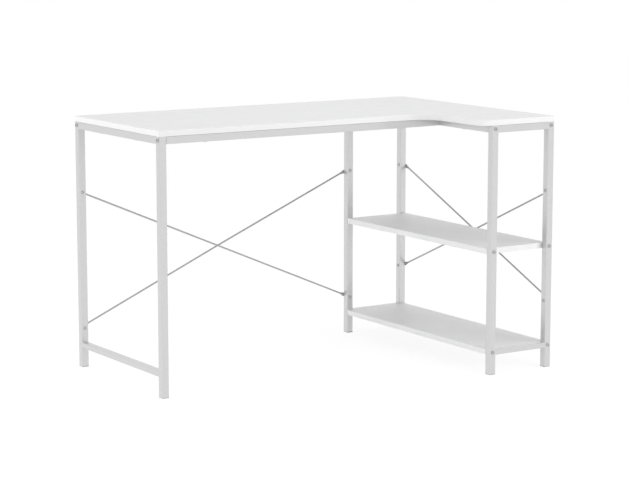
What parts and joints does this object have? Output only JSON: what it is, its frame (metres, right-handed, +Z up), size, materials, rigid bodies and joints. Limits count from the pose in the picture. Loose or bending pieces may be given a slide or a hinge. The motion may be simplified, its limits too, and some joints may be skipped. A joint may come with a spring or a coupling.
{
  "type": "corner desk",
  "caption": "L-shaped corner desk: a white board top with a curved inner corner on a square-tube frame, crossed brace rods, and a shelf unit under the wing.",
  "frame": {"origin": "on the floor, under the middle of the assembled desk's box", "axes": "+X along the rear edge from the plain end to the shelf end, +Y from the seat to the rear, +Z up"},
  "size_m": [1.1124, 0.7324, 0.7],
  "materials": {
    "white_board": "white melamine-faced board, satin",
    "edge_band": "white plastic edging, satin",
    "frame_paint": "light grey powder coat, semi-gloss",
    "brace_paint": "light grey powder coat, semi-gloss",
    "plated_fastener": "grey nickel-plated steel, satin",
    "zinc_insert": "bright zinc-plated steel",
    "foot_plastic": "light grey moulded plastic"
  },
  "bodies": {
    "root": {"desktop": "white_board", "upper_shelf": "white_board", "lower_shelf": "white_board", "desktop_edge_band": "edge_band", "upper_shelf_edge_band": "edge_band", "lower_shelf_edge_band": "edge_band", "left_rear_leg": "frame_paint", "left_front_leg": "frame_paint", "rear_inner_leg": "frame_paint", "rear_outer_leg": "frame_paint", "front_inner_leg": "frame_paint", "front_outer_leg": "frame_paint", "left_top_rail": "frame_paint", "left_crossbar": "frame_paint", "rear_frame_top_rail": "frame_paint", "rear_frame_crossbar": "frame_paint", "front_frame_top_rail": "frame_paint", "front_frame_crossbar": "frame_paint", "front_rail": "frame_paint", "rear_rail": "frame_paint", "wing_inner_rail": "frame_paint", "wing_outer_rail": "frame_paint", "rear_rail_tab": "frame_paint", "rear_brace_falling": "brace_paint", "rear_brace_rising": "brace_paint", "side_brace_falling": "brace_paint", "side_brace_rising": "brace_paint", "rail_bolts": "plated_fastener", "shelf_bolts": "plated_fastener", "brace_bolts": "plated_fastener", "brace_nuts": "plated_fastener", "brace_rivets": "plated_fastener", "desktop_screws": "zinc_insert", "rail_end_plugs": "zinc_insert", "shelf_barrel_nuts": "zinc_insert", "left_rear_foot": "foot_plastic", "left_front_foot": "foot_plastic", "rear_inner_foot": "foot_plastic", "rear_outer_foot": "foot_plastic", "front_inner_foot": "foot_plastic", "front_outer_foot": "foot_plastic"}
  },
  "joints": []
}
